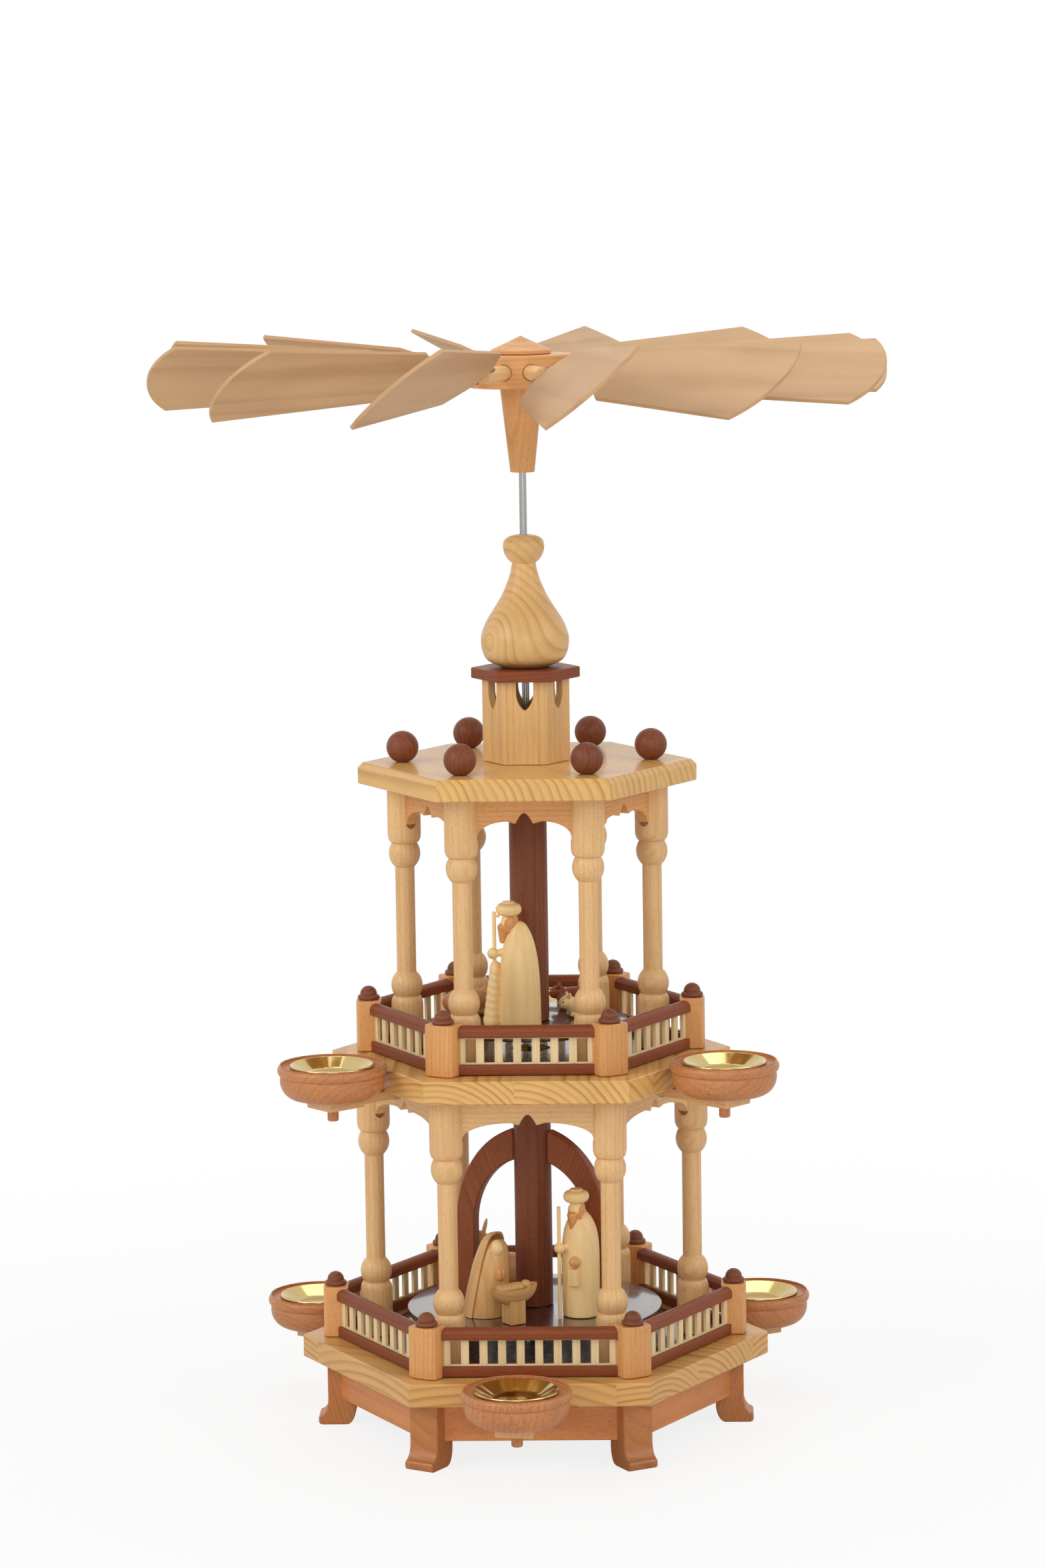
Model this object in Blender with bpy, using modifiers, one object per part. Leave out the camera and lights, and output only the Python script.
# A two-tier wooden candle carousel: warm air from tea lights on swinging
# arms turns a bladed wheel, and with it two turntables that carry figures.
# Metres, +Z up, the feet stand on z = 0 and the wheel turns about the Z axis.

import bpy
import bmesh
from math import acos, atan2, cos, degrees, pi, radians, sin, sqrt
from mathutils import Matrix, Vector

# Fits that every piece shares
SIDES = 6
GAP = 0.0003
OVERRUN = 0.002
BURY = 0.001
WELD = 0.00001

# Turntables, which set the size of both tiers
LOWER_TURNTABLE_RADIUS = 0.0720
UPPER_TURNTABLE_RADIUS = 0.0544
TURNTABLE_THICKNESS = 0.0030
LOWER_TURNTABLE_LIFT = 0.0139
UPPER_TURNTABLE_LIFT = 0.0134
LOWER_TURNTABLE_CLEARANCE = 0.0083
UPPER_TURNTABLE_CLEARANCE = 0.0055

# Turned columns of both colonnades
COLUMN_HEIGHT = 0.1505
COLUMN_HEAD_RADIUS = 0.0093
COLUMN_HEAD_HEIGHT = 0.0332
COLUMN_NECK_RADIUS = 0.0069
COLUMN_BALL_RADIUS = 0.0088
COLUMN_BALL_HEIGHT = 0.0136
COLUMN_SHAFT_RADIUS = 0.0054
COLUMN_BASE_RADIUS = 0.0090
COLUMN_BASE_HEIGHT = 0.0305

# Curved boards between the column heads
FRIEZE_THICKNESS = 0.0060
FRIEZE_END_DEPTH = 0.0218
FRIEZE_MID_DEPTH = 0.0132
FRIEZE_SHOULDER = 0.0045
FRIEZE_NOTCH_WIDTH = 0.0096
FRIEZE_NOTCH_HEIGHT = 0.0050

# Fences round both plates
POST_WIDTH = 0.0174
POST_DEPTH = 0.0140
POST_HEIGHT = 0.0284
POST_BULGE = 0.0025
POST_CAP_RADIUS = 0.0062
POST_CAP_HEIGHT = 0.0077
LOWER_FENCE_GAP = 0.0071
UPPER_FENCE_GAP = 0.0057
LOWER_SLATS = 10
UPPER_SLATS = 8
SLAT_WIDTH = 0.0044
SLAT_PITCH = 0.01015
SLAT_THICKNESS = 0.0030
TOP_RAIL_HEIGHT = 0.0065
TOP_RAIL_DEPTH = 0.0070
BOTTOM_RAIL_HEIGHT = 0.0057
BOTTOM_RAIL_DEPTH = 0.0060
SLAT_HEIGHT = 0.0150

# Hexagonal plates, with how far each reaches past what stands on or under it
PLATE_THICKNESS = 0.0129
ROOF_PLATE_THICKNESS = 0.0120
PLATE_CHAMFER = 0.0030
BASE_PLATE_MARGIN = 0.0190
MID_PLATE_MARGIN = 0.0211
ROOF_PLATE_MARGIN = 0.0254
ROOF_BALL_RADIUS = 0.0090
ROOF_BALL_INSET = 0.0253
ROOF_BALL_SINK = 0.0006

# Base frame of aprons and corner feet
BASE_FRAME_HEIGHT = 0.0374
APRON_INSET = 0.0143
APRON_THICKNESS = 0.0080
APRON_LIFT = 0.0150
FOOT_THICKNESS = 0.0180
FOOT_INSET = 0.0139
FOOT_TOE = 0.0055
FOOT_TOE_HEIGHT = 0.0050
FOOT_ANKLE_HEIGHT = 0.0136
FOOT_WIDTH = 0.0159
FOOT_HEEL = 0.0057
FOOT_HEEL_HEIGHT = 0.0107
FOOT_ROUND = 0.0012

# Tower, its cap and the finial on the roof
TOWER_RADIUS = 0.0243
TOWER_HEIGHT = 0.0460
TOWER_WALL = 0.0040
WINDOW_WIDTH = 0.0090
WINDOW_HEIGHT = 0.0160
WINDOW_POINT = 0.0100
TOWER_CAP_RADIUS = 0.0303
TOWER_CAP_THICKNESS = 0.0060
FINIAL_HEIGHT = 0.0735
FINIAL_BULB_RADIUS = 0.0245
FINIAL_BULB_HEIGHT = 0.0577
FINIAL_FOOT_RADIUS = 0.0132
FINIAL_NECK_RADIUS = 0.0065
FINIAL_BALL_RADIUS = 0.01145
FINIAL_CLEARANCE = 0.0346

# Spindle, its bearing and the bored columns that turn with it
SPINDLE_RADIUS = 0.0020
SPINDLE_TIP = 0.0030
SPINDLE_CLEARANCE = 0.0005
BEARING_RADIUS = 0.0080
BEARING_HEIGHT = 0.0085
BEARING_SEAT = 0.0030
BEARING_CUP_DEPTH = 0.0040
BEARING_CUP_RADIUS = 0.0030
LOWER_COLUMN_RADIUS = 0.0105
UPPER_COLUMN_RADIUS = 0.0106
COLUMN_RUNNING_GAP = 0.0025

# Hub of the wheel
HUB_RADIUS = 0.0290
HUB_HEIGHT = 0.0181
HUB_CAP_RADIUS = 0.01675
HUB_CAP_EDGE = 0.0020
HUB_CAP_HEIGHT = 0.0098
SLEEVE_HEIGHT = 0.0467
SLEEVE_TOP_RADIUS = 0.0118
SLEEVE_FOOT_RADIUS = 0.0067

# Blades, each a thin board on a round dowel
BLADE_COUNT = 12
BLADE_PHASE = radians(12.5)
BLADE_PITCHES = (26.3, 28.5, 28.5, 28.5, 28.5, 31.0, 33.7, 36.3, 38.3, 39.6, 35.0, 28.8)
BLADE_THICKNESS = 0.0022
BLADE_ROOT_WIDTH = 0.0130
BLADE_SHOULDER_WIDTH = 0.0440
BLADE_END_WIDTH = 0.0650
BLADE_ROOT_REACH = 0.0340
BLADE_SHOULDER_REACH = 0.0190
BLADE_SIDE_LENGTH = 0.1135
BLADE_TIP_RISE = 0.0125
DOWEL_RADIUS = 0.0043
DOWEL_DEPTH = 0.0095

# Arch on the lower turntable, two halves let into the column
ARCH_TURN = radians(-22)
ARCH_THICKNESS = 0.0075
ARCH_SLOT_DEPTH = 0.0030
ARCH_INNER_HALF_WIDTH = 0.0353
ARCH_OUTER_HALF_WIDTH = 0.0465
ARCH_LEG_HEIGHT = 0.0442
ARCH_INNER_RISE = 0.0400
ARCH_OUTER_RISE = 0.0578

# Candle cups, their pins, brass dishes and swinging arms
CUP_RADIUS = 0.0301
CUP_HEIGHT = 0.0190
CUP_WAIST_RADIUS = 0.0288
CUP_FOOT_RADIUS = 0.0195
CUP_BEAD_HEIGHT = 0.0060
CUP_LIP = 0.0010
CUP_LEDGE_DROP = 0.0020
CUP_WELL_RADIUS = 0.0224
CUP_WELL_DEPTH = 0.0080
CUP_PIN_RADIUS = 0.0031
CUP_PIN_LENGTH = 0.0129
CUP_CLEARANCE = 0.0028
DISH_RIM_RADIUS = 0.0233
DISH_RIM_HEIGHT = 0.0016
DISH_FLOOR_RADIUS = 0.0138
DISH_DEPTH = 0.0052
DISH_THICKNESS = 0.0008
ARM_THICKNESS = 0.0054
ARM_NECK_WIDTH = 0.0100
ARM_PAD_WIDTH = 0.0209
ARM_PAD_BACK = 0.0143
ARM_PAD_FRONT = 0.0100
ARM_SCREW_RADIUS = 0.0015
ARM_SCREW_HEAD_RADIUS = 0.0032
ARM_SCREW_HEAD_HEIGHT = 0.0012
LOWER_ARMS = ((radians(-90), radians(-8.3)), (radians(30), 0), (radians(150), 0))
UPPER_ARMS = ((radians(-150), radians(12.2)), (radians(-30), radians(-10.5)), (radians(90), 0))

# Facets of the round pieces
COLUMN_FACETS = 8
CUP_FACETS = 16
TURNTABLE_FACETS = 32
HUB_FACETS = 24
ROUND_FACETS = 16
FIGURE_FACETS = 10
SMALL_FACETS = 6
BALL_RINGS = 6
SMOOTH_ANGLE = radians(35)

# Rings and heights that follow from the sizes above
lower_ring = LOWER_TURNTABLE_RADIUS + LOWER_TURNTABLE_CLEARANCE + COLUMN_HEAD_RADIUS
upper_ring = UPPER_TURNTABLE_RADIUS + UPPER_TURNTABLE_CLEARANCE + COLUMN_HEAD_RADIUS
lower_fence_ring = lower_ring + COLUMN_BASE_RADIUS + LOWER_FENCE_GAP + POST_DEPTH / 2
upper_fence_ring = upper_ring + COLUMN_BASE_RADIUS + UPPER_FENCE_GAP + POST_DEPTH / 2
base_plate_radius = lower_fence_ring + BASE_PLATE_MARGIN
mid_plate_radius = upper_fence_ring + MID_PLATE_MARGIN
roof_plate_radius = upper_ring + ROOF_PLATE_MARGIN

base_plate_bottom = BASE_FRAME_HEIGHT + GAP
base_plate_top = base_plate_bottom + PLATE_THICKNESS
mid_plate_bottom = base_plate_top + COLUMN_HEIGHT + 2 * GAP
mid_plate_top = mid_plate_bottom + PLATE_THICKNESS
roof_plate_bottom = mid_plate_top + COLUMN_HEIGHT + 2 * GAP
roof_plate_top = roof_plate_bottom + ROOF_PLATE_THICKNESS
tower_bottom = roof_plate_top + GAP
tower_top = tower_bottom + TOWER_HEIGHT
finial_bottom = tower_top + TOWER_CAP_THICKNESS + 2 * GAP
finial_top = finial_bottom + FINIAL_HEIGHT
sleeve_bottom = finial_top + FINIAL_CLEARANCE
hub_bottom = sleeve_bottom + SLEEVE_HEIGHT + GAP
hub_middle = hub_bottom + HUB_HEIGHT / 2
hub_top = hub_bottom + HUB_HEIGHT
lower_disc_top = base_plate_top + LOWER_TURNTABLE_LIFT + TURNTABLE_THICKNESS
upper_disc_top = mid_plate_top + UPPER_TURNTABLE_LIFT + TURNTABLE_THICKNESS
bearing_bottom = base_plate_top - BEARING_SEAT + GAP
spindle_bottom = bearing_bottom + BEARING_HEIGHT - BEARING_CUP_DEPTH + GAP
spindle_bore = SPINDLE_RADIUS + GAP
blade_root = HUB_RADIUS + BLADE_ROOT_REACH
hex_face_share = cos(pi / SIDES)

MATERIALS = {
    "pine": ((0.80, 0.58, 0.28), 0.40, 0),
    "beech": ((0.72, 0.46, 0.23), 0.40, 0),
    "stained_wood": ((0.16, 0.05, 0.03), 0.30, 0),
    "maple": ((0.80, 0.62, 0.38), 0.50, 0),
    "ash": ((0.76, 0.56, 0.29), 0.40, 0),
    "brass": ((0.80, 0.58, 0.25), 0.15, 1),
    "steel": ((0.60, 0.60, 0.62), 0.20, 1),
    "glass": ((0.70, 0.75, 0.75), 0.10, 0),
}

for old in list(bpy.data.objects):
    bpy.data.objects.remove(old, do_unlink=True)

parts = bpy.data.collections.new("candle_carousel")
cutters = bpy.data.collections.new("cutters")
bpy.context.scene.collection.children.link(parts)
bpy.context.scene.collection.children.link(cutters)


def make_materials():
    made = {}
    for name, (colour, roughness, metallic) in MATERIALS.items():
        material = bpy.data.materials.new(name)
        material.use_nodes = True
        shader = material.node_tree.nodes["Principled BSDF"]
        shader.inputs["Base Color"].default_value = (*colour, 1)
        shader.inputs["Roughness"].default_value = roughness
        shader.inputs["Metallic"].default_value = metallic
        made[name] = material
    return made


materials = make_materials()


def link_tool(name, mesh):
    tool = bpy.data.objects.new(name, mesh)
    tool.hide_render = True
    tool.display_type = "WIRE"
    cutters.objects.link(tool)
    return tool


def baked(tool):
    """The tool with its modifiers and its placing worked into one mesh."""
    bpy.context.view_layer.update()
    graph = bpy.context.evaluated_depsgraph_get()
    mesh = bpy.data.meshes.new_from_object(tool.evaluated_get(graph))
    mesh.transform(tool.matrix_world)
    cleaner = bmesh.new()
    cleaner.from_mesh(mesh)
    bmesh.ops.remove_doubles(cleaner, verts=cleaner.verts, dist=WELD)
    cleaner.to_mesh(mesh)
    cleaner.free()
    result = link_tool(tool.name, mesh)
    bpy.data.objects.remove(tool, do_unlink=True)
    return result


def combined(body, tools, operation):
    group = bpy.data.collections.new("combined_tools")
    for tool in tools:
        group.objects.link(tool)
    boolean = body.modifiers.new(operation, "BOOLEAN")
    boolean.operation = operation
    boolean.solver = "EXACT"
    boolean.operand_type = "COLLECTION"
    boolean.collection = group
    result = baked(body)
    for tool in tools:
        bpy.data.objects.remove(tool, do_unlink=True)
    bpy.data.collections.remove(group)
    return result


def joined(tools):
    return combined(tools[0], tools[1:], "UNION")


def cut(body, tools):
    return combined(body, tools, "DIFFERENCE")


def turned(profile, facets, closed=False):
    """Turn (radius, height) points about Z; they run down the outer side."""
    count = len(profile)
    edges = [(index, index + 1) for index in range(count - 1)]
    if closed:
        edges.append((count - 1, 0))
    mesh = bpy.data.meshes.new("turned")
    mesh.from_pydata([(radius, 0, height) for radius, height in profile], edges, [])
    tool = link_tool("turned", mesh)
    screw = tool.modifiers.new("Screw", "SCREW")
    screw.steps = facets
    screw.render_steps = facets
    screw.use_merge_vertices = True
    screw.merge_threshold = WELD
    return baked(tool)


def tube(outer, inner, bottom, top, facets):
    ring = ((inner, top), (outer, top), (outer, bottom), (inner, bottom))
    return turned(ring, facets, closed=True)


def clearing(pin_radius, facets):
    """Corner radius of a faceted hole that a round pin turns in."""
    return (pin_radius + GAP) / cos(pi / facets)


def cylinder(radius, bottom, top, facets, place=(0, 0)):
    mesh = bpy.data.meshes.new("cylinder")
    shape = bmesh.new()
    bmesh.ops.create_cone(shape, cap_ends=True, segments=facets,
                          radius1=radius, radius2=radius, depth=top - bottom)
    bmesh.ops.translate(shape, verts=shape.verts, vec=(*place, (bottom + top) / 2))
    shape.to_mesh(mesh)
    shape.free()
    return link_tool("cylinder", mesh)


def rod(start, end, radius, facets, end_radius=None):
    start = Vector(start)
    end = Vector(end)
    along = end - start
    turn = along.to_track_quat("Z", "Y").to_matrix().to_4x4()
    mesh = bpy.data.meshes.new("rod")
    shape = bmesh.new()
    bmesh.ops.create_cone(shape, cap_ends=True, segments=facets, radius1=radius,
                          radius2=radius if end_radius is None else end_radius,
                          depth=along.length)
    bmesh.ops.transform(shape, verts=shape.verts,
                        matrix=Matrix.Translation((start + end) / 2) @ turn)
    shape.to_mesh(mesh)
    shape.free()
    return link_tool("rod", mesh)


def ball(centre, radii, segments=COLUMN_FACETS, rings=BALL_RINGS, turn=None):
    mesh = bpy.data.meshes.new("ball")
    shape = bmesh.new()
    bmesh.ops.create_uvsphere(shape, u_segments=segments, v_segments=rings, radius=1)
    size = Matrix.Diagonal((*radii, 1))
    tilt = turn if turn is not None else Matrix.Identity(4)
    bmesh.ops.transform(shape, verts=shape.verts,
                        matrix=Matrix.Translation(centre) @ tilt @ size)
    shape.to_mesh(mesh)
    shape.free()
    return link_tool("ball", mesh)


def block(size, centre, turn=0):
    mesh = bpy.data.meshes.new("block")
    shape = bmesh.new()
    bmesh.ops.create_cube(shape, size=1)
    placing = Matrix.Translation(centre) @ Matrix.Rotation(turn, 4, "Z") @ Matrix.Diagonal((*size, 1))
    bmesh.ops.transform(shape, verts=shape.verts, matrix=placing)
    shape.to_mesh(mesh)
    shape.free()
    return link_tool("block", mesh)


def board(outlines, bottom, top, placing=None):
    """A flat outline in XY, with any holes, between two heights."""
    curve = bpy.data.curves.new("board", "CURVE")
    curve.dimensions = "2D"
    curve.fill_mode = "BOTH"
    curve.extrude = (top - bottom) / 2
    for outline in outlines:
        spline = curve.splines.new("POLY")
        spline.points.add(len(outline) - 1)
        for point, (x, y) in zip(spline.points, outline):
            point.co = (x, y, 0, 1)
        spline.use_cyclic_u = True
    tool = link_tool("board", curve)
    tool.matrix_world = (placing or Matrix.Identity(4)) @ Matrix.Translation((0, 0, (bottom + top) / 2))
    return baked(tool)


def upright(turn, shift=(0, 0, 0)):
    """Placing that stands a flat outline up: its X runs level, its Y up."""
    stand = Matrix.Rotation(pi / 2, 4, "X")
    return Matrix.Translation(shift) @ Matrix.Rotation(turn, 4, "Z") @ stand


def arc(centre, radii, start, end, steps):
    """Points of an ellipse's arc, both ends included."""
    points = []
    for step in range(steps + 1):
        angle = start + (end - start) * step / steps
        points.append((centre[0] + radii[0] * cos(angle), centre[1] + radii[1] * sin(angle)))
    return points


def hexagon(radius):
    return [(radius * cos(pi / 3 * side), radius * sin(pi / 3 * side)) for side in range(SIDES)]


def ring_places(radius):
    """Corner places of a hexagon, each with its direction from the axis."""
    places = []
    for side in range(SIDES):
        angle = side * pi / 3
        places.append((radius * cos(angle), radius * sin(angle), angle))
    return places


def finish(tool, name, material, origin=(0, 0, 0), parent=None, turn=None):
    """Give a baked tool its name, its place in the model and its material."""
    mesh = tool.data
    mesh.name = name
    mesh.transform(Matrix.Translation(-Vector(origin)))
    part = bpy.data.objects.new(name, mesh)
    parts.objects.link(part)
    part.location = origin
    if parent is not None:
        part.parent = parent
    if turn is not None:
        part.rotation_euler = turn
    mesh.materials.clear()
    mesh.materials.append(materials[material])
    mesh.shade_smooth()
    mesh.set_sharp_from_angle(angle=SMOOTH_ANGLE)
    bpy.data.objects.remove(tool, do_unlink=True)
    return part


def empty(name, location, parent=None, turn=0):
    pivot = bpy.data.objects.new(name, None)
    pivot.location = location
    pivot.rotation_euler = (0, 0, turn)
    pivot.parent = parent
    parts.objects.link(pivot)
    return pivot


# The wheel turns about this empty, and everything on the spindle hangs from it
rotor_axis = empty("rotor_axis", (0, 0, 0))


# Arms need to know where their pivot and cup stand, seen from the axis
def arm_layout(plate_radius, inner_face):
    """Pivot distance and arm length below one plate."""
    pivot_distance = inner_face + GAP + ARM_NECK_WIDTH / 2
    cup_distance = plate_radius * hex_face_share + CUP_CLEARANCE + CUP_RADIUS
    return pivot_distance, cup_distance - pivot_distance


apron_face = base_plate_radius * hex_face_share - APRON_INSET
frieze_face = lower_ring * hex_face_share + FRIEZE_THICKNESS / 2
lower_pivot_distance, lower_arm_length = arm_layout(base_plate_radius, apron_face)
upper_pivot_distance, upper_arm_length = arm_layout(mid_plate_radius, frieze_face)


def plate(radius, bottom, top, chamfer=0):
    profile = [(0, top), (radius - chamfer, top)]
    if chamfer:
        profile.append((radius, top - chamfer))
    profile += [(radius, bottom), (0, bottom)]
    return turned(profile, SIDES)


def arm_screws(pivot_distance, arms, plate_bottom):
    """Round-headed screws that the arms swing on."""
    head_top = plate_bottom - 2 * GAP - ARM_THICKNESS
    screws = []
    for face, _ in arms:
        place = (pivot_distance * cos(face), pivot_distance * sin(face))
        profile = ((0, plate_bottom + BURY), (ARM_SCREW_RADIUS, plate_bottom + BURY),
                   (ARM_SCREW_RADIUS, head_top), (ARM_SCREW_HEAD_RADIUS, head_top),
                   (ARM_SCREW_HEAD_RADIUS, head_top - ARM_SCREW_HEAD_HEIGHT / 2),
                   (ARM_SCREW_RADIUS, head_top - ARM_SCREW_HEAD_HEIGHT),
                   (0, head_top - ARM_SCREW_HEAD_HEIGHT))
        screw = turned(profile, SMALL_FACETS)
        screw.data.transform(Matrix.Translation((*place, 0)))
        screws.append(screw)
    return screws


def make_base_plate():
    body = plate(base_plate_radius, base_plate_bottom, base_plate_top)
    seat = cylinder(BEARING_RADIUS + GAP, base_plate_top - BEARING_SEAT,
                    base_plate_top + OVERRUN, ROUND_FACETS)
    body = cut(body, [seat])
    body = joined([body] + arm_screws(lower_pivot_distance, LOWER_ARMS, base_plate_bottom))
    finish(body, "base_plate", "pine")


def make_mid_plate():
    body = plate(mid_plate_radius, mid_plate_bottom, mid_plate_top)
    hole = cylinder(UPPER_COLUMN_RADIUS, mid_plate_bottom - OVERRUN, mid_plate_top + OVERRUN,
                    ROUND_FACETS)
    body = cut(body, [hole])
    body = joined([body] + arm_screws(upper_pivot_distance, UPPER_ARMS, mid_plate_bottom))
    finish(body, "mid_plate", "pine")


def make_roof_plate():
    body = plate(roof_plate_radius, roof_plate_bottom, roof_plate_top, PLATE_CHAMFER)
    hole = cylinder(SPINDLE_RADIUS + SPINDLE_CLEARANCE, roof_plate_bottom - OVERRUN,
                    roof_plate_top + OVERRUN, SMALL_FACETS)
    body = cut(body, [hole])
    balls = []
    centre_height = roof_plate_top + ROOF_BALL_RADIUS - ROOF_BALL_SINK
    for x, y, _ in ring_places(roof_plate_radius - ROOF_BALL_INSET):
        size = (ROOF_BALL_RADIUS,) * 3
        balls.append(ball((x, y, centre_height), size))
    finish(joined([body] + balls), "roof_plate", "pine")


def foot_outline():
    """Side view of a foot: distance from the axis against height."""
    outer = base_plate_radius - FOOT_INSET
    inner = outer - FOOT_WIDTH
    toe = outer + FOOT_TOE
    heel = inner + FOOT_HEEL
    hollow = arc((toe, FOOT_ANKLE_HEIGHT), (FOOT_TOE, FOOT_ANKLE_HEIGHT - FOOT_TOE_HEIGHT),
                 pi, 3 * pi / 2 - pi / 12, 3)
    bulge = arc((heel, FOOT_HEEL_HEIGHT), (FOOT_HEEL, FOOT_HEEL_HEIGHT), 3 * pi / 2, pi, 3)
    toe_end = ((toe, FOOT_TOE_HEIGHT), (toe, FOOT_ROUND), (toe - FOOT_ROUND, 0))
    return [(outer, BASE_FRAME_HEIGHT)] + hollow + list(toe_end) + bulge + [(inner, BASE_FRAME_HEIGHT)]


def make_base_frame():
    outer = apron_face / hex_face_share
    inner = (apron_face - APRON_THICKNESS) / hex_face_share
    pieces = [board([hexagon(outer), hexagon(inner)], APRON_LIFT, BASE_FRAME_HEIGHT)]
    outline = foot_outline()
    for _, _, angle in ring_places(1):
        pieces.append(board([outline], -FOOT_THICKNESS / 2, FOOT_THICKNESS / 2, upright(angle)))
    finish(joined(pieces), "base_frame", "beech")


def column_profile():
    """Radius against height above the column's foot, top to bottom."""
    head_foot = COLUMN_HEIGHT - COLUMN_HEAD_HEIGHT
    ball_foot = head_foot - COLUMN_BALL_HEIGHT
    half_ball = COLUMN_BALL_HEIGHT / 2
    flare = COLUMN_HEAD_RADIUS - COLUMN_NECK_RADIUS
    low_ball_foot = COLUMN_BASE_HEIGHT
    base_flare = COLUMN_BASE_RADIUS - COLUMN_NECK_RADIUS
    return [
        (0, COLUMN_HEIGHT),
        (COLUMN_HEAD_RADIUS, COLUMN_HEIGHT),
        (COLUMN_HEAD_RADIUS, head_foot + 2 * flare),
        (COLUMN_NECK_RADIUS, head_foot),
        (COLUMN_BALL_RADIUS, head_foot - half_ball),
        (COLUMN_NECK_RADIUS, ball_foot + half_ball / 3),
        (COLUMN_SHAFT_RADIUS, ball_foot),
        (COLUMN_SHAFT_RADIUS, low_ball_foot + COLUMN_BALL_HEIGHT),
        (COLUMN_NECK_RADIUS, low_ball_foot + COLUMN_BALL_HEIGHT - half_ball / 3),
        (COLUMN_BALL_RADIUS, low_ball_foot + half_ball),
        (COLUMN_NECK_RADIUS, low_ball_foot),
        (COLUMN_BASE_RADIUS, low_ball_foot - 2 * base_flare),
        (COLUMN_BASE_RADIUS, 0),
        (0, 0),
    ]


def frieze_outline(length):
    """Front view of a frieze, its top edge on Y = 0."""
    half = length / 2
    span = half - FRIEZE_SHOULDER
    rise = FRIEZE_END_DEPTH - FRIEZE_MID_DEPTH
    notch = FRIEZE_NOTCH_WIDTH / 2
    right = arc((0, -FRIEZE_END_DEPTH), (span, rise), 0, pi / 2, 5)[:-1]
    left = arc((0, -FRIEZE_END_DEPTH), (span, rise), pi / 2, pi, 5)[1:]
    point = [(notch, -FRIEZE_MID_DEPTH), (0, FRIEZE_NOTCH_HEIGHT - FRIEZE_MID_DEPTH),
             (-notch, -FRIEZE_MID_DEPTH)]
    ends = [(-half, -FRIEZE_END_DEPTH), (-half, 0), (half, 0), (half, -FRIEZE_END_DEPTH)]
    return ends + right + point + left


def make_colonnade(name, ring, foot):
    pieces = []
    for x, y, _ in ring_places(ring):
        column = turned(column_profile(), COLUMN_FACETS)
        column.data.transform(Matrix.Translation((x, y, foot)))
        pieces.append(column)
    top = foot + COLUMN_HEIGHT - GAP
    outline = frieze_outline(ring - 2 * COLUMN_SHAFT_RADIUS)
    for side in range(SIDES):
        face = pi / 3 * side + pi / 6
        reach = ring * hex_face_share
        shift = (reach * cos(face), reach * sin(face), top)
        pieces.append(board([outline], -FRIEZE_THICKNESS / 2, FRIEZE_THICKNESS / 2,
                            upright(face + pi / 2, shift)))
    finish(joined(pieces), name, "beech")


def post_outline():
    """Plan of a fence post with its outer face, at +X, rounded out."""
    half = POST_WIDTH / 2
    front = POST_DEPTH / 2 - POST_BULGE
    face = arc((front, 0), (POST_BULGE, half), -pi / 2, pi / 2, 3)
    return [(-POST_DEPTH / 2, half), (-POST_DEPTH / 2, -half)] + face


def post_cap(height):
    radius = POST_CAP_RADIUS
    rise = POST_CAP_HEIGHT
    cap_shares = ((0, 1), (0.60, 0.88), (0.74, 0.60), (1, 0.30), (0.92, -0.1), (0, -0.1))
    profile = [(radius * across, height + rise * up) for across, up in cap_shares]
    return turned(profile, SMALL_FACETS)


def rail(length, depth, bottom, top, place, turn):
    bar = block((length, depth, top - bottom), (0, 0, (bottom + top) / 2))
    bar.data.transform(Matrix.Translation((*place, 0)) @ Matrix.Rotation(turn, 4, "Z"))
    return bar


def slat_panel(count, bottom, top):
    """One side's slats as a board with a gap cut between each pair."""
    half = ((count - 1) * SLAT_PITCH + SLAT_WIDTH) / 2
    outlines = [[(-half, bottom), (half, bottom), (half, top), (-half, top)]]
    for gap in range(count - 1):
        left = -half + SLAT_WIDTH + gap * SLAT_PITCH
        right = left + SLAT_PITCH - SLAT_WIDTH
        low = bottom + BURY / 2
        high = top - BURY / 2
        outlines.append([(left, low), (left, high), (right, high), (right, low)])
    return outlines


def make_fence(name, ring, floor, slats):
    foot = floor + GAP
    pieces = []
    for x, y, angle in ring_places(ring):
        placing = Matrix.Translation((x, y, 0)) @ Matrix.Rotation(angle, 4, "Z")
        pieces.append(board([post_outline()], foot, foot + POST_HEIGHT, placing))
        cap = post_cap(foot + POST_HEIGHT)
        cap.data.transform(Matrix.Translation((x, y, 0)))
        pieces.append(cap)
    rail_foot = foot + GAP
    slat_foot = rail_foot + BOTTOM_RAIL_HEIGHT
    slat_top = slat_foot + SLAT_HEIGHT
    reach = ring * hex_face_share
    for side in range(SIDES):
        face = pi / 3 * side + pi / 6
        place = (reach * cos(face), reach * sin(face))
        turn = face + pi / 2
        length = ring - POST_WIDTH / 2
        pieces.append(rail(length, BOTTOM_RAIL_DEPTH, rail_foot, slat_foot, place, turn))
        pieces.append(rail(length, TOP_RAIL_DEPTH, slat_top, slat_top + TOP_RAIL_HEIGHT, place, turn))
        panel = slat_panel(slats, slat_foot - BURY, slat_top + BURY)
        pieces.append(board(panel, -SLAT_THICKNESS / 2, SLAT_THICKNESS / 2,
                            upright(turn, (*place, 0))))
    finish(joined(pieces), name, "maple")


def window_outline():
    """Pointed window hanging from Y = 0, open at its top."""
    half = WINDOW_WIDTH / 2
    straight = WINDOW_POINT - WINDOW_HEIGHT
    curve_shares = ((1, 0), (0.86, 0.4), (0.5, 0.75), (0, 1))
    right = [(half * across, straight - WINDOW_POINT * down) for across, down in curve_shares]
    left = [(-x, y) for x, y in reversed(right[:-1])]
    return [(-half, OVERRUN), (half, OVERRUN)] + right + left


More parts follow.
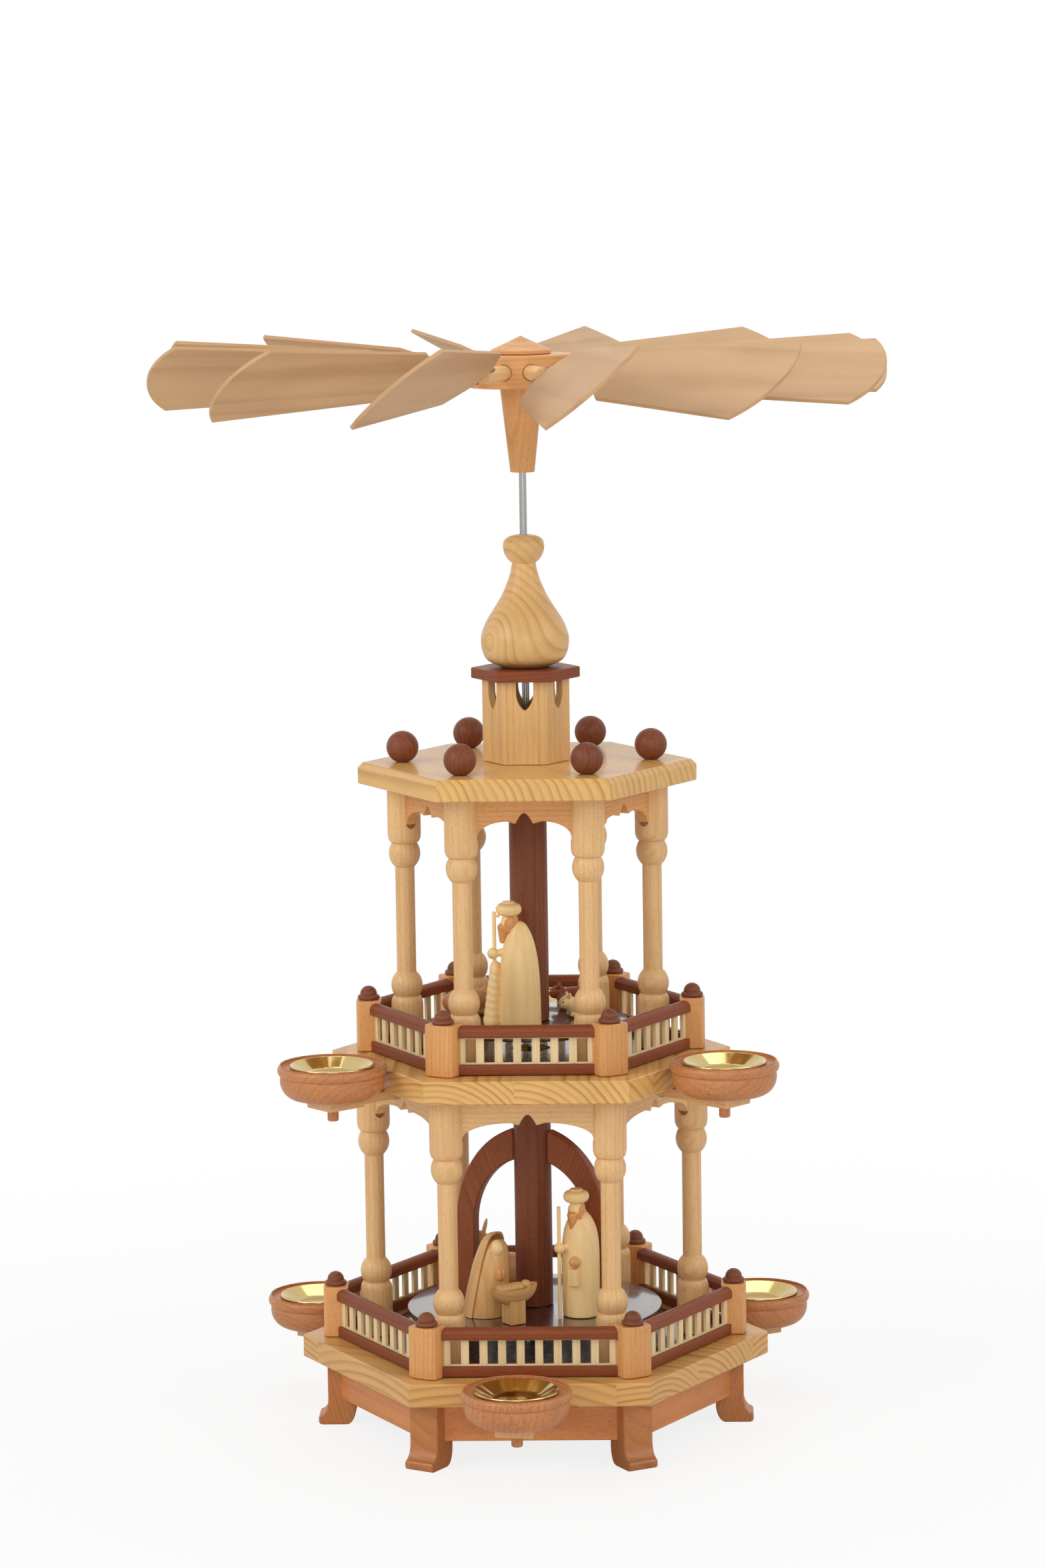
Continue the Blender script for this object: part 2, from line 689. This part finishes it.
def make_roof_tower():
    inner = TOWER_RADIUS - TOWER_WALL / hex_face_share
    body = tube(TOWER_RADIUS, inner, tower_bottom, tower_top, SIDES)
    windows = []
    reach = TOWER_RADIUS * hex_face_share
    for side in range(SIDES):
        face = pi / 3 * side + pi / 6
        windows.append(board([window_outline()], -TOWER_WALL - OVERRUN, OVERRUN,
                             upright(face + pi / 2, (reach * cos(face), reach * sin(face), tower_top))))
    finish(cut(body, windows), "roof_tower", "ash")


def make_tower_cap():
    bottom = tower_top + GAP
    top = bottom + TOWER_CAP_THICKNESS
    body = plate(TOWER_CAP_RADIUS, bottom, top)
    hole = cylinder(SPINDLE_RADIUS + SPINDLE_CLEARANCE, bottom - OVERRUN, top + OVERRUN, SMALL_FACETS)
    finish(cut(body, [hole]), "tower_cap", "stained_wood")


def make_finial():
    """Onion-shaped bulb under a flattened ball, bored to guide the spindle."""
    bore = SPINDLE_RADIUS + SPINDLE_CLEARANCE
    bulb_shares = ((0.33, 0.88), (0.49, 0.71), (0.67, 0.58), (0.86, 0.45), (0.97, 0.34),
                   (1, 0.25), (0.96, 0.14), (0.84, 0.06))
    centre = FINIAL_BULB_HEIGHT + sqrt(FINIAL_BALL_RADIUS ** 2 - FINIAL_NECK_RADIUS ** 2)
    top_angle = atan2(FINIAL_HEIGHT - centre, FINIAL_BALL_RADIUS)
    low_angle = -atan2(centre - FINIAL_BULB_HEIGHT, FINIAL_NECK_RADIUS)
    ball_side = arc((0, centre), (FINIAL_BALL_RADIUS, FINIAL_BALL_RADIUS), top_angle, low_angle, 5)
    profile = [(bore, FINIAL_HEIGHT), (ball_side[0][0], FINIAL_HEIGHT)]
    profile += ball_side[1:]
    profile += [(FINIAL_BULB_RADIUS * across, FINIAL_BULB_HEIGHT * up) for across, up in bulb_shares]
    profile += [(FINIAL_FOOT_RADIUS, 0), (bore, 0)]
    body = turned([(radius, finial_bottom + height) for radius, height in profile],
                  ROUND_FACETS, closed=True)
    finish(body, "finial", "ash")


def make_bearing():
    top = bearing_bottom + BEARING_HEIGHT
    cup_floor = top - BEARING_CUP_DEPTH
    profile = ((0, cup_floor), (SPINDLE_RADIUS / 2, cup_floor), (BEARING_CUP_RADIUS, top),
               (BEARING_RADIUS - BURY, top), (BEARING_RADIUS, top - BURY),
               (BEARING_RADIUS, bearing_bottom), (0, bearing_bottom))
    finish(turned(profile, ROUND_FACETS), "pivot_bearing", "glass")


def make_spindle():
    top = hub_top - GAP
    profile = ((0, top), (SPINDLE_RADIUS, top), (SPINDLE_RADIUS, spindle_bottom + SPINDLE_TIP),
               (0, spindle_bottom))
    finish(turned(profile, COLUMN_FACETS), "spindle", "steel", parent=rotor_axis)


def make_hub():
    body = tube(HUB_RADIUS, spindle_bore, hub_bottom, hub_top, HUB_FACETS)
    holes = []
    for blade in range(BLADE_COUNT):
        angle = BLADE_PHASE + 2 * pi * blade / BLADE_COUNT
        start = HUB_RADIUS - DOWEL_DEPTH - GAP
        end = HUB_RADIUS + OVERRUN
        holes.append(rod((start * cos(angle), start * sin(angle), hub_middle),
                         (end * cos(angle), end * sin(angle), hub_middle),
                         clearing(DOWEL_RADIUS, COLUMN_FACETS), COLUMN_FACETS))
    finish(cut(body, holes), "rotor_hub", "beech", parent=rotor_axis)


def make_hub_cap():
    bottom = hub_top + GAP
    profile = ((0, bottom + HUB_CAP_HEIGHT), (HUB_CAP_RADIUS, bottom + HUB_CAP_EDGE),
               (HUB_CAP_RADIUS, bottom), (0, bottom))
    finish(turned(profile, ROUND_FACETS), "hub_cap", "beech", parent=rotor_axis)


def make_hub_sleeve():
    top = sleeve_bottom + SLEEVE_HEIGHT
    profile = ((spindle_bore, top), (SLEEVE_TOP_RADIUS, top), (SLEEVE_FOOT_RADIUS, sleeve_bottom),
               (spindle_bore, sleeve_bottom))
    finish(turned(profile, ROUND_FACETS, closed=True), "hub_sleeve", "beech", parent=rotor_axis)


def blade_outline():
    """Blade in plan, X out from the axis: root, shoulder, sides and round tip."""
    root = (blade_root, BLADE_ROOT_WIDTH / 2)
    shoulder = (root[0] + BLADE_SHOULDER_REACH, BLADE_SHOULDER_WIDTH / 2)
    corner = (shoulder[0] + BLADE_SIDE_LENGTH, BLADE_END_WIDTH / 2)
    radius = (corner[1] ** 2 + BLADE_TIP_RISE ** 2) / (2 * BLADE_TIP_RISE)
    centre = corner[0] + BLADE_TIP_RISE - radius
    half_angle = atan2(corner[1], corner[0] - centre)
    tip = arc((centre, 0), (radius, radius), -half_angle, half_angle, 4)
    lower = [(root[0], -root[1]), (shoulder[0], -shoulder[1])]
    return lower + tip + [shoulder, root]


def make_blades():
    outline = blade_outline()
    for index in range(BLADE_COUNT):
        angle = BLADE_PHASE + 2 * pi * index / BLADE_COUNT
        leaf = board([outline], -BLADE_THICKNESS / 2, BLADE_THICKNESS / 2)
        dowel = rod((HUB_RADIUS - DOWEL_DEPTH, 0, 0), (blade_root + BURY, 0, 0),
                    DOWEL_RADIUS, COLUMN_FACETS)
        blade = finish(joined([leaf, dowel]), f"blade_{index + 1:02d}", "beech", parent=rotor_axis,
                       turn=(radians(BLADE_PITCHES[index]), 0, angle))
        blade.location.z = hub_middle


def arch_angle(side):
    """Direction of one arch half from the axis: 0 is the right half, 1 the left."""
    return ARCH_TURN + side * pi


def arch_outline():
    """One arch half: X from the axis, Y above the turntable."""
    root = LOWER_COLUMN_RADIUS - ARCH_SLOT_DEPTH
    outer_start = acos(root / ARCH_OUTER_HALF_WIDTH)
    inner_start = acos(root / ARCH_INNER_HALF_WIDTH)
    outer = arc((0, ARCH_LEG_HEIGHT), (ARCH_OUTER_HALF_WIDTH, ARCH_OUTER_RISE), 0, outer_start, 8)
    inner = arc((0, ARCH_LEG_HEIGHT), (ARCH_INNER_HALF_WIDTH, ARCH_INNER_RISE), inner_start, 0, 8)
    feet = [(ARCH_INNER_HALF_WIDTH, 0), (ARCH_OUTER_HALF_WIDTH, 0)]
    return feet + outer + inner


def make_arches():
    foot = lower_disc_top + GAP
    for side, name in enumerate(("arch_right", "arch_left")):
        half = board([arch_outline()], -ARCH_THICKNESS / 2, ARCH_THICKNESS / 2,
                     upright(arch_angle(side), (0, 0, foot)))
        finish(half, name, "stained_wood", parent=rotor_axis)


def make_rotor_columns():
    bottom = lower_disc_top + GAP
    top = mid_plate_bottom - COLUMN_RUNNING_GAP
    body = tube(LOWER_COLUMN_RADIUS, spindle_bore, bottom, top, ROUND_FACETS)
    spring = bottom + ARCH_LEG_HEIGHT
    slot_low = spring + ARCH_INNER_RISE * sqrt(1 - (LOWER_COLUMN_RADIUS / ARCH_INNER_HALF_WIDTH) ** 2) - GAP
    slot_high = spring + ARCH_OUTER_RISE + GAP
    slots = []
    reach = LOWER_COLUMN_RADIUS - ARCH_SLOT_DEPTH / 2 + OVERRUN
    for side in range(2):
        angle = arch_angle(side)
        size = (ARCH_SLOT_DEPTH + 2 * OVERRUN + 2 * GAP, ARCH_THICKNESS + 2 * GAP, slot_high - slot_low)
        place = (reach * cos(angle), reach * sin(angle), (slot_low + slot_high) / 2)
        slots.append(block(size, place, angle))
    finish(cut(body, slots), "lower_column", "stained_wood", parent=rotor_axis)
    bottom = upper_disc_top + GAP
    top = roof_plate_bottom - COLUMN_RUNNING_GAP
    body = tube(UPPER_COLUMN_RADIUS, spindle_bore, bottom, top, ROUND_FACETS)
    finish(body, "upper_column", "stained_wood", parent=rotor_axis)


def make_turntables():
    for name, radius, top in (("lower_turntable", LOWER_TURNTABLE_RADIUS, lower_disc_top),
                              ("upper_turntable", UPPER_TURNTABLE_RADIUS, upper_disc_top)):
        body = tube(radius, spindle_bore, top - TURNTABLE_THICKNESS, top, TURNTABLE_FACETS)
        finish(body, name, "stained_wood", parent=rotor_axis)


# Figures: sizes of the robes, heads, hats and what the hands hold
LOWER_FIGURE_PLACE = (0.0270, -0.0276)
LOWER_ROBE_RADIUS = 0.0102
LOWER_ROBE_HEIGHT = 0.0625
UPPER_FIGURE_PLACE = (-0.0050, -0.0232)
UPPER_ROBE_RADIUS = 0.0115
UPPER_ROBE_HEIGHT = 0.0590
ROBE_SHARES = ((0, 1), (0.40, 0.985), (0.70, 0.90), (0.90, 0.77), (1, 0.62), (1, 0), (0, 0))
HEAD_RADIUS = 0.0048
HEAD_HEIGHT = 0.0080
HEAD_OVERLAP = 0.0060
BEARD_RADIUS = 0.0030
BEARD_LENGTH = 0.0060
HAT_RADIUS = 0.0072
HAT_HALF_HEIGHT = 0.0040
HAT_BUTTON_RADIUS = 0.0036
HAND_RADIUS = 0.0031
STAFF_RADIUS = 0.0011
LOWER_LEAN = 0.0022
UPPER_LEAN = 0.0055
LOWER_STAFF_PLACE = (-0.0118, -0.0086)
LOWER_STAFF_HEIGHT = 0.0642
LOWER_HAND_HEIGHT = 0.0402
UPPER_STAFF_PLACE = (-0.0138, -0.0010)
UPPER_STAFF_FOOT = 0.0270
UPPER_STAFF_HEIGHT = 0.0650
UPPER_HAND_HEIGHT = 0.0418
LANTERN_SIZE = (0.0054, 0.0040, 0.0094)
LANTERN_HEIGHT = 0.0238
LANTERN_HAND_HEIGHT = 0.0324


def standing_body(place, floor, radius, height, lean, lean_angle):
    """Robe, head, beard and hat of a figure that looks along lean_angle."""
    x, y = place
    robe = turned([(radius * across, height * up) for across, up in ROBE_SHARES], FIGURE_FACETS)
    robe.data.transform(Matrix.Translation((x, y, floor)))
    toward = Vector((cos(lean_angle), sin(lean_angle), 0))
    head_centre = Vector((x, y, floor + height - HEAD_OVERLAP / 2)) + toward * lean
    head = ball(head_centre, (HEAD_RADIUS, HEAD_RADIUS, HEAD_HEIGHT), SMALL_FACETS)
    beard_centre = head_centre + toward * (HEAD_RADIUS - BEARD_RADIUS / 2) - Vector((0, 0, HEAD_HEIGHT / 2))
    beard = ball(beard_centre, (BEARD_RADIUS, BEARD_RADIUS, BEARD_LENGTH), SIDES)
    hat_centre = head_centre + Vector((0, 0, HEAD_HEIGHT + HAT_HALF_HEIGHT / 3))
    hat = ball(hat_centre, (HAT_RADIUS, HAT_RADIUS, HAT_HALF_HEIGHT))
    button = ball(hat_centre + Vector((0, 0, HAT_HALF_HEIGHT)),
                  (HAT_BUTTON_RADIUS, HAT_BUTTON_RADIUS, BURY), SMALL_FACETS)
    return [robe, head, beard, hat, button]


def make_lower_figure():
    floor = lower_disc_top + GAP
    x, y = LOWER_FIGURE_PLACE
    looking = atan2(LOWER_STAFF_PLACE[1], LOWER_STAFF_PLACE[0])
    pieces = standing_body(LOWER_FIGURE_PLACE, floor, LOWER_ROBE_RADIUS, LOWER_ROBE_HEIGHT,
                           LOWER_LEAN, looking)
    staff = (x + LOWER_STAFF_PLACE[0], y + LOWER_STAFF_PLACE[1])
    hand = (*staff, floor + LOWER_HAND_HEIGHT)
    pieces.append(rod((*staff, floor), (*staff, floor + LOWER_STAFF_HEIGHT), STAFF_RADIUS, SIDES))
    pieces.append(ball(hand, (HAND_RADIUS,) * 3, SIDES))
    pieces.append(rod((x, y, floor + LOWER_HAND_HEIGHT), hand, STAFF_RADIUS + BURY, SIDES))
    front = y - LOWER_ROBE_RADIUS
    left = x - HAND_RADIUS
    pieces.append(ball((left, front, floor + LANTERN_HAND_HEIGHT), (HAND_RADIUS,) * 3, SIDES))
    pieces.append(block(LANTERN_SIZE, (left, front, floor + LANTERN_HEIGHT), looking / 4))
    finish(joined(pieces), "lower_standing_figure", "maple", parent=rotor_axis)


def make_upper_figure():
    floor = upper_disc_top + GAP
    x, y = UPPER_FIGURE_PLACE
    pieces = standing_body(UPPER_FIGURE_PLACE, floor, UPPER_ROBE_RADIUS, UPPER_ROBE_HEIGHT,
                           UPPER_LEAN, pi)
    staff = (x + UPPER_STAFF_PLACE[0], y + UPPER_STAFF_PLACE[1])
    hand = (*staff, floor + UPPER_HAND_HEIGHT)
    low_hand = (staff[0] + STAFF_RADIUS, staff[1], floor + UPPER_HAND_HEIGHT - 2 * HAND_RADIUS - STAFF_RADIUS)
    pieces.append(rod((*staff, floor + UPPER_STAFF_FOOT), (*staff, floor + UPPER_STAFF_HEIGHT),
                      STAFF_RADIUS, SIDES))
    pieces.append(ball(hand, (HAND_RADIUS,) * 3, SIDES))
    pieces.append(ball(low_hand, (HAND_RADIUS,) * 3, SIDES))
    pieces.append(rod((x, y, hand[2]), hand, STAFF_RADIUS + BURY, SIDES))
    fold = rod((x - UPPER_ROBE_RADIUS, y, floor), (x - UPPER_ROBE_RADIUS, y, low_hand[2]),
               2 * HAND_RADIUS, COLUMN_FACETS, end_radius=HAND_RADIUS)
    pieces.append(fold)
    finish(joined(pieces), "upper_standing_figure", "maple", parent=rotor_axis)


# Kneeling figure, manger and animals
KNEELER_PLACE = (-0.0270, -0.0250)
KNEELER_RADIUS = 0.0120
KNEELER_HEIGHT = 0.0470
KNEELER_LEAN_SHARE = 0.14
KNEELER_SHARES = ((0, 1), (0.45, 0.94), (0.66, 0.84), (0.84, 0.64), (0.94, 0.42), (1, 0), (0, 0))
CLOAK_SHARE = 1.09
CLOAK_CUT_ANGLE = radians(-35)
KNEELER_FACE = (0.0035, 0.0035, 0.0045)
KNEELER_FACE_PLACE = (0.0070, -0.0065, 0.0392)
KNEELER_HAND = (0.0023, 0.0023, 0.0038)
KNEELER_HAND_PLACE = (0.0090, -0.0090, 0.0246)
MANGER_PLACE = (-0.0103, -0.0467)
MANGER_TURN = radians(34)
MANGER_POST = 0.0099
MANGER_POST_HEIGHT = 0.0130
MANGER_LENGTH = 0.0300
MANGER_WIDTH = 0.0140
MANGER_DEPTH = 0.0090
BUNDLE_LENGTH = 0.0160
BUNDLE_RADIUS = 0.0036
BUNDLE_HEAD = 0.0029
SHEEP_BODY = (0.0115, 0.0065, 0.0062)
ANIMAL_BODY = (0.0190, 0.0090, 0.0100)
ANIMAL_NECK_HEIGHT = 0.0300
ANIMAL_PLACE = (-0.0190, 0.0400)
ANIMAL_TURN = radians(219)
EAR_LENGTH = 0.0110
EAR_WIDTH = 0.0015
SHEEP = (("sheep_dark", (0.0250, 0.0340), radians(172), 1, "stained_wood"),
         ("sheep_light", (0.0305, 0.0070), radians(200), 1, "maple"),
         ("sheep_brown", (-0.0365, 0.0160), radians(20), 1.25, "beech"))


def make_kneeling_figure():
    x, y = KNEELER_PLACE
    floor = lower_disc_top + GAP
    shear = Matrix.Identity(4)
    shear[0][2] = KNEELER_LEAN_SHARE
    placing = Matrix.Translation((x, y, floor)) @ shear
    profile = [(KNEELER_RADIUS * across, KNEELER_HEIGHT * up) for across, up in KNEELER_SHARES]
    body = turned(profile, FIGURE_FACETS)
    cloak = turned([(radius * CLOAK_SHARE, height * CLOAK_SHARE) for radius, height in profile],
                   FIGURE_FACETS)
    reach = 2 * KNEELER_HEIGHT
    front = block((reach, reach, 2 * reach), (reach / 2, 0, 0))
    front.data.transform(Matrix.Rotation(CLOAK_CUT_ANGLE, 4, "Z"))
    cloak = cut(cloak, [front])
    body.data.transform(placing)
    cloak.data.transform(placing)
    face = ball(Vector((x, y, floor)) + Vector(KNEELER_FACE_PLACE), KNEELER_FACE, SMALL_FACETS)
    hands = ball(Vector((x, y, floor)) + Vector(KNEELER_HAND_PLACE), KNEELER_HAND, SIDES)
    finish(joined([body, cloak, face, hands]), "kneeling_figure", "maple", parent=rotor_axis)


def make_manger():
    x, y = MANGER_PLACE
    floor = lower_disc_top + GAP
    rim = MANGER_POST_HEIGHT + MANGER_DEPTH - 2 * BURY
    post = block((MANGER_POST, MANGER_POST, MANGER_POST_HEIGHT), (0, 0, MANGER_POST_HEIGHT / 2))
    bowl = ball((0, 0, rim), (MANGER_LENGTH / 2, MANGER_WIDTH / 2, MANGER_DEPTH))
    lid = block((2 * MANGER_LENGTH, 2 * MANGER_LENGTH, 2 * MANGER_DEPTH), (0, 0, rim + MANGER_DEPTH))
    bowl = cut(bowl, [lid])
    hollow_shares = (0.8, 0.75, 0.4)
    size = (MANGER_LENGTH / 2, MANGER_WIDTH / 2, MANGER_DEPTH)
    hollow = ball((0, 0, rim + GAP), [share * length for share, length in zip(hollow_shares, size)])
    bowl = cut(bowl, [hollow])
    lie = rim - size[2] * hollow_shares[2] + BUNDLE_RADIUS - BURY
    bundle = ball((-BUNDLE_HEAD / 2, 0, lie), (BUNDLE_LENGTH / 2, BUNDLE_RADIUS, BUNDLE_RADIUS), SMALL_FACETS)
    head = ball((BUNDLE_LENGTH / 2, 0, lie + BURY), (BUNDLE_HEAD,) * 3, SMALL_FACETS)
    body = joined([post, bowl, bundle, head])
    body.data.transform(Matrix.Translation((x, y, floor)) @ Matrix.Rotation(MANGER_TURN, 4, "Z"))
    finish(body, "manger", "maple", parent=rotor_axis)


def animal_pieces(size, head_height):
    """A lying animal along X, its head at +X, standing on z = 0."""
    length, width, height = size
    body = ball((0, 0, height - GAP), size)
    flat = block((4 * length, 4 * width, height), (0, 0, -height / 2))
    body = cut(body, [flat])
    skull = width * 0.55
    head_centre = Vector((length * 0.95, 0, head_height - skull))
    neck = rod((length * 0.45, 0, height), head_centre, width * 0.6, SIDES, end_radius=skull * 0.8)
    head = ball(head_centre, (skull * 1.35, skull, skull), SMALL_FACETS,
                turn=Matrix.Rotation(pi / 8, 4, "Y"))
    pieces = [body, neck, head]
    for side in (-1, 1):
        base = head_centre + Vector((-skull * 0.3, side * skull * 0.5, skull * 0.5))
        tilt = Matrix.Rotation(-side * pi / 8, 4, "X")
        middle = base + (tilt @ Vector((0, 0, size[2] * 0.4)))
        pieces.append(ball(middle, (EAR_WIDTH, EAR_WIDTH, size[2] * 0.55), SIDES, BALL_RINGS - 2, tilt))
    return pieces


def make_animals():
    body = joined(animal_pieces(ANIMAL_BODY, ANIMAL_NECK_HEIGHT + ANIMAL_BODY[1] * 0.55))
    body.data.transform(Matrix.Translation((*ANIMAL_PLACE, lower_disc_top + GAP))
                        @ Matrix.Rotation(ANIMAL_TURN, 4, "Z"))
    finish(body, "resting_animal", "beech", parent=rotor_axis)
    for name, place, turn, scale, material in SHEEP:
        size = [scale * length for length in SHEEP_BODY]
        body = joined(animal_pieces(size, 2 * size[2]))
        body.data.transform(Matrix.Translation((*place, upper_disc_top + GAP))
                            @ Matrix.Rotation(turn, 4, "Z"))
        finish(body, name, material, parent=rotor_axis)


def cup_profile():
    """Cup with its pin below, the foot on z = 0 and a recess for the dish."""
    bead_foot = CUP_HEIGHT - CUP_BEAD_HEIGHT
    bowl = arc((CUP_FOOT_RADIUS, bead_foot * 0.75), (CUP_WAIST_RADIUS - CUP_FOOT_RADIUS, bead_foot * 0.75),
               0, -pi / 2, 2)
    ledge = CUP_HEIGHT - CUP_LEDGE_DROP
    floor = ledge - CUP_WELL_DEPTH
    return [
        (0, floor),
        (CUP_WELL_RADIUS * 0.92, floor),
        (CUP_WELL_RADIUS, ledge),
        (CUP_RADIUS - 2 * CUP_LIP, ledge),
        (CUP_RADIUS - 2 * CUP_LIP, CUP_HEIGHT),
        (CUP_RADIUS - CUP_LIP, CUP_HEIGHT),
        (CUP_RADIUS, CUP_HEIGHT - CUP_BEAD_HEIGHT / 2),
        (CUP_WAIST_RADIUS, bead_foot),
    ] + bowl + [
        (CUP_PIN_RADIUS, 0),
        (CUP_PIN_RADIUS, -CUP_PIN_LENGTH),
        (0, -CUP_PIN_LENGTH),
    ]


def dish_profile():
    """Brass dish: rolled rim and a sloped well, its rim resting on z = 0."""
    floor = DISH_RIM_HEIGHT - DISH_DEPTH
    under = floor - DISH_THICKNESS
    wall = DISH_RIM_RADIUS - DISH_RIM_HEIGHT
    return [
        (0, floor),
        (DISH_FLOOR_RADIUS, floor),
        (wall, DISH_RIM_HEIGHT),
        (DISH_RIM_RADIUS, DISH_RIM_HEIGHT / 2),
        (DISH_RIM_RADIUS - DISH_THICKNESS / 2, 0),
        (wall - DISH_THICKNESS / 2, 0),
        (DISH_FLOOR_RADIUS + DISH_THICKNESS / 2, under),
        (0, under),
    ]


def arm_outline(length):
    """Arm in plan: round end on the screw, narrow neck and a wide pad."""
    neck = ARM_NECK_WIDTH / 2
    pad = ARM_PAD_WIDTH / 2
    shoulder = length - ARM_PAD_BACK
    end = length + ARM_PAD_FRONT
    root = arc((0, 0), (neck, neck), pi / 2, 3 * pi / 2, 5)
    return root + [(shoulder, -neck), (shoulder, -pad), (end, -pad), (end, pad), (shoulder, pad),
                   (shoulder, neck)]


def hole_outline(centre, pin_radius):
    radius = clearing(pin_radius, COLUMN_FACETS)
    last = 2 * pi * (COLUMN_FACETS - 1) / COLUMN_FACETS
    return arc((centre, 0), (radius, radius), 0, last, COLUMN_FACETS - 1)


def make_candle_set(tier, number, face, skew, pivot_distance, length, plate_bottom):
    top = plate_bottom - GAP
    pivot = empty(f"{tier}_arm_pivot_{number}",
                  (pivot_distance * cos(face), pivot_distance * sin(face), top), turn=face + skew)
    outlines = [arm_outline(length),
                hole_outline(0, ARM_SCREW_RADIUS),
                hole_outline(length, CUP_PIN_RADIUS)]
    finish(board(outlines, -ARM_THICKNESS, 0), f"{tier}_cup_arm_{number}", "beech", parent=pivot)
    cup = finish(turned(cup_profile(), CUP_FACETS), f"{tier}_candle_cup_{number}", "beech", parent=pivot)
    cup.location = (length, 0, GAP)
    dish = finish(turned(dish_profile(), CUP_FACETS), f"{tier}_drip_dish_{number}", "brass", parent=pivot)
    dish.location = (length, 0, CUP_HEIGHT - CUP_LEDGE_DROP + 2 * GAP)


def make_candle_sets():
    for tier, arms, pivot_distance, length, plate_bottom in (
            ("lower", LOWER_ARMS, lower_pivot_distance, lower_arm_length, base_plate_bottom),
            ("upper", UPPER_ARMS, upper_pivot_distance, upper_arm_length, mid_plate_bottom)):
        for number, (face, skew) in enumerate(arms, start=1):
            make_candle_set(tier, number, face, skew, pivot_distance, length, plate_bottom)


make_base_frame()
make_base_plate()
make_mid_plate()
make_roof_plate()
make_colonnade("lower_colonnade", lower_ring, base_plate_top + GAP)
make_colonnade("upper_colonnade", upper_ring, mid_plate_top + GAP)
make_fence("lower_fence", lower_fence_ring, base_plate_top, LOWER_SLATS)
make_fence("upper_fence", upper_fence_ring, mid_plate_top, UPPER_SLATS)
make_roof_tower()
make_tower_cap()
make_finial()
make_bearing()
make_spindle()
make_hub()
make_hub_cap()
make_hub_sleeve()
make_blades()
make_rotor_columns()
make_turntables()
make_arches()
make_lower_figure()
make_upper_figure()
make_kneeling_figure()
make_manger()
make_animals()
make_candle_sets()

for tier, arm_length in (("lower", lower_arm_length), ("upper", upper_arm_length)):
    swing = degrees(acos(1 - (CUP_CLEARANCE - GAP) / arm_length))
    print(tier, "arms swing each side of straight, degrees", round(swing, 1))
